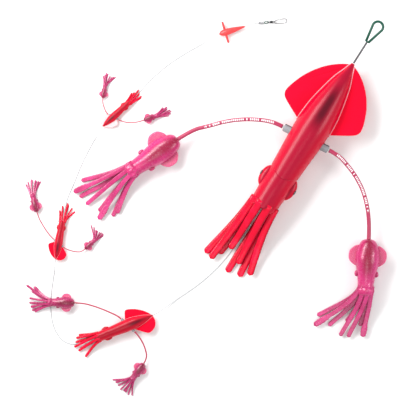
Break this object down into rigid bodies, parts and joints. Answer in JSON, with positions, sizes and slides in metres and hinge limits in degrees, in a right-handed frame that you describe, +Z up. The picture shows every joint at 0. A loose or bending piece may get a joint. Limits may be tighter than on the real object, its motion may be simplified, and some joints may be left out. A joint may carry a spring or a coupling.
{
  "type": "squid daisy chain",
  "caption": "Trolling teaser laid flat: a large soft squid and smaller squids on one leader, each with side squids on spreader arms, ending in a swivel snap.",
  "frame": {"origin": "middle of the laid-out chain on the plane that it lies on", "axes": "+Z up from the surface; +X to the right and +Y away, seen from above with the tow loop at the upper right"},
  "size_m": [0.5414, 0.566, 0.0542],
  "materials": {
    "lead_skin": "glossy soft vinyl with a pearl sheen",
    "foam_core": "closed-cell foam",
    "fin_sheet": "flat matte vinyl sheet",
    "squid_eyes": "glossy, with a dark pupil",
    "side_eyes": "glossy, with a dark pupil",
    "lead_tentacle_skin": "glossy soft vinyl",
    "sleeve_grey": "brushed grey with a dark top edge",
    "leader_wire": "drawn wire",
    "tow_wire": "close-wound wire",
    "loop_cover": "green plastic tube",
    "bird_coral": "moulded plastic",
    "crimp_metal": "satin",
    "swivel_dark": "black nickel",
    "snap_wire": "polished wire",
    "glitter_skin": "translucent vinyl with fine glitter",
    "glitter_tentacles": "translucent vinyl with fine glitter",
    "arm_tube": "rose tube with white marks",
    "mono_line": "clear monofilament"
  },
  "bodies": {
    "root": {"lead_mantle": "lead_skin", "float_core": "foam_core", "lead_fins": "fin_sheet", "lead_head": "lead_skin", "lead_eyes": "squid_eyes", "lead_tentacles": "lead_tentacle_skin", "lead_sleeve": "sleeve_grey", "leader_core": "leader_wire", "follower_sleeves": "sleeve_grey", "follower_eyes": "squid_eyes", "bird_body": "bird_coral", "bird_wings": "bird_coral", "end_crimp": "crimp_metal", "end_thimble": "loop_cover", "swivel_barrel": "swivel_dark", "second_squid": "lead_skin", "second_tentacles": "lead_tentacle_skin", "third_squid": "lead_skin", "third_tentacles": "lead_tentacle_skin", "fourth_squid": "lead_skin", "fourth_tentacles": "lead_tentacle_skin", "line_1": "mono_line", "line_2": "mono_line", "line_3": "mono_line", "line_4": "mono_line", "line_5": "mono_line"},
    "tow_line": {"tow_stem": "tow_wire", "tow_loop": "loop_cover"},
    "snap": {"swivel_eye": "swivel_dark", "snap_frame": "snap_wire"},
    "gate": {"snap_gate": "snap_wire"},
    "left_arm": {"left_arm": "arm_tube", "left_arm_core": "leader_wire"},
    "right_arm": {"right_arm": "arm_tube", "right_arm_core": "leader_wire"},
    "second_left_arm": {"second_left_arm": "arm_tube"},
    "second_right_arm": {"second_right_arm": "arm_tube"},
    "third_left_arm": {"third_left_arm": "arm_tube"},
    "third_right_arm": {"third_right_arm": "arm_tube"},
    "fourth_left_arm": {"fourth_left_arm": "arm_tube"},
    "fourth_right_arm": {"fourth_right_arm": "arm_tube"},
    "left_side_squid": {"left_squid": "glitter_skin", "left_tentacles": "glitter_tentacles", "left_eyes": "side_eyes"},
    "right_side_squid": {"right_squid": "glitter_skin", "right_tentacles": "glitter_tentacles", "right_eyes": "side_eyes"},
    "second_left_side_squid": {"second_left_squid": "glitter_skin", "second_left_tentacles": "glitter_tentacles"},
    "second_right_side_squid": {"second_right_squid": "glitter_skin", "second_right_tentacles": "glitter_tentacles"},
    "third_left_side_squid": {"third_left_squid": "glitter_skin", "third_left_tentacles": "glitter_tentacles"},
    "third_right_side_squid": {"third_right_squid": "glitter_skin", "third_right_tentacles": "glitter_tentacles"},
    "fourth_left_side_squid": {"fourth_left_squid": "glitter_skin", "fourth_left_tentacles": "glitter_tentacles"},
    "fourth_right_side_squid": {"fourth_right_squid": "glitter_skin", "fourth_right_tentacles": "glitter_tentacles"}
  },
  "joints": [
    {"name": "left_arm_lift", "type": "hinge", "parent": "root", "child": "left_arm", "pos_m": [0.11533, 0.11976, 0.0272], "axis": [0.4561, 0.8899, 0], "range_deg": [0, 30], "stiffness_Nm_per_rad": 0.05},
    {"name": "right_arm_lift", "type": "hinge", "parent": "root", "child": "right_arm", "pos_m": [0.18474, 0.08418, 0.0272], "axis": [-0.4561, -0.8899, 0], "range_deg": [0, 30], "stiffness_Nm_per_rad": 0.05},
    {"name": "second_left_arm_lift", "type": "hinge", "parent": "root", "child": "second_left_arm", "pos_m": [-0.1255, -0.16734, 0.00952], "axis": [0.6893, 0.7245, 0], "range_deg": [0, 30], "stiffness_Nm_per_rad": 0.004},
    {"name": "second_right_arm_lift", "type": "hinge", "parent": "root", "child": "second_right_arm", "pos_m": [-0.10557, -0.18629, 0.00952], "axis": [-0.6893, -0.7245, 0], "range_deg": [0, 30], "stiffness_Nm_per_rad": 0.004},
    {"name": "third_left_arm_lift", "type": "hinge", "parent": "root", "child": "third_left_arm", "pos_m": [-0.22647, -0.04841, 0.00626], "axis": [0.6283, 0.778, 0], "range_deg": [0, 30], "stiffness_Nm_per_rad": 0.002},
    {"name": "third_right_arm_lift", "type": "hinge", "parent": "root", "child": "third_right_arm", "pos_m": [-0.21198, -0.06011, 0.00626], "axis": [-0.6283, -0.778, 0], "range_deg": [0, 30], "stiffness_Nm_per_rad": 0.002},
    {"name": "fourth_left_arm_lift", "type": "hinge", "parent": "root", "child": "fourth_left_arm", "pos_m": [-0.14495, 0.13906, 0.00571], "axis": [0.4758, 0.8795, 0], "range_deg": [0, 30], "stiffness_Nm_per_rad": 0.002},
    {"name": "fourth_right_arm_lift", "type": "hinge", "parent": "root", "child": "fourth_right_arm", "pos_m": [-0.12987, 0.13091, 0.00571], "axis": [-0.4758, -0.8795, 0], "range_deg": [0, 30], "stiffness_Nm_per_rad": 0.002},
    {"name": "left_squid_spin", "type": "hinge", "parent": "left_arm", "child": "left_side_squid", "pos_m": [-0.0405, 0.1013, 0.0178], "axis": [-0.829, -0.5592, 0], "continuous": true},
    {"name": "right_squid_spin", "type": "hinge", "parent": "right_arm", "child": "right_side_squid", "pos_m": [0.2445, -0.048, 0.0178], "axis": [-0.0715, -0.9974, 0], "continuous": true},
    {"name": "second_left_squid_spin", "type": "hinge", "parent": "second_left_arm", "child": "second_left_side_squid", "pos_m": [-0.1953, -0.1433, 0.00854], "axis": [-0.9998, 0.0175, 0], "range_deg": [-25, 25]},
    {"name": "second_right_squid_spin", "type": "hinge", "parent": "second_right_arm", "child": "second_right_side_squid", "pos_m": [-0.0915, -0.2345, 0.00659], "axis": [-0.6046, -0.7965, 0], "range_deg": [-25, 25]},
    {"name": "third_left_squid_spin", "type": "hinge", "parent": "third_left_arm", "child": "third_left_side_squid", "pos_m": [-0.2516, -0.0075, 0.00587], "axis": [-0.2419, 0.9703, 0], "range_deg": [-25, 25]},
    {"name": "third_right_squid_spin", "type": "hinge", "parent": "third_right_arm", "child": "third_right_side_squid", "pos_m": [-0.1797, -0.063, 0.00445], "axis": [0.7314, 0.682, 0], "range_deg": [-25, 25]},
    {"name": "fourth_left_squid_spin", "type": "hinge", "parent": "fourth_left_arm", "child": "fourth_left_side_squid", "pos_m": [-0.153, 0.1631, 0.00427], "axis": [0.1805, 0.9836, 0], "range_deg": [-25, 25]},
    {"name": "fourth_right_squid_spin", "type": "hinge", "parent": "fourth_right_arm", "child": "fourth_right_side_squid", "pos_m": [-0.0915, 0.1301, 0.00481], "axis": [0.9461, 0.3239, 0], "range_deg": [-25, 25]},
    {"name": "tow_line_flex", "type": "hinge", "parent": "root", "child": "tow_line", "pos_m": [0.22114, 0.21401, 0.0272], "axis": [0, 0, 1], "range_deg": [-40, 40], "stiffness_Nm_per_rad": 0.02},
    {"name": "swivel_spin", "type": "hinge", "parent": "root", "child": "snap", "pos_m": [0.10232, 0.27752, 0.0026], "axis": [0.9962, 0.0872, 0], "continuous": true},
    {"name": "snap_gate_open", "type": "hinge", "parent": "snap", "child": "gate", "pos_m": [0.11899, 0.27566, 0.0026], "axis": [0, 0, 1], "range_deg": [-25, 0], "stiffness_Nm_per_rad": 0.0005}
  ]
}
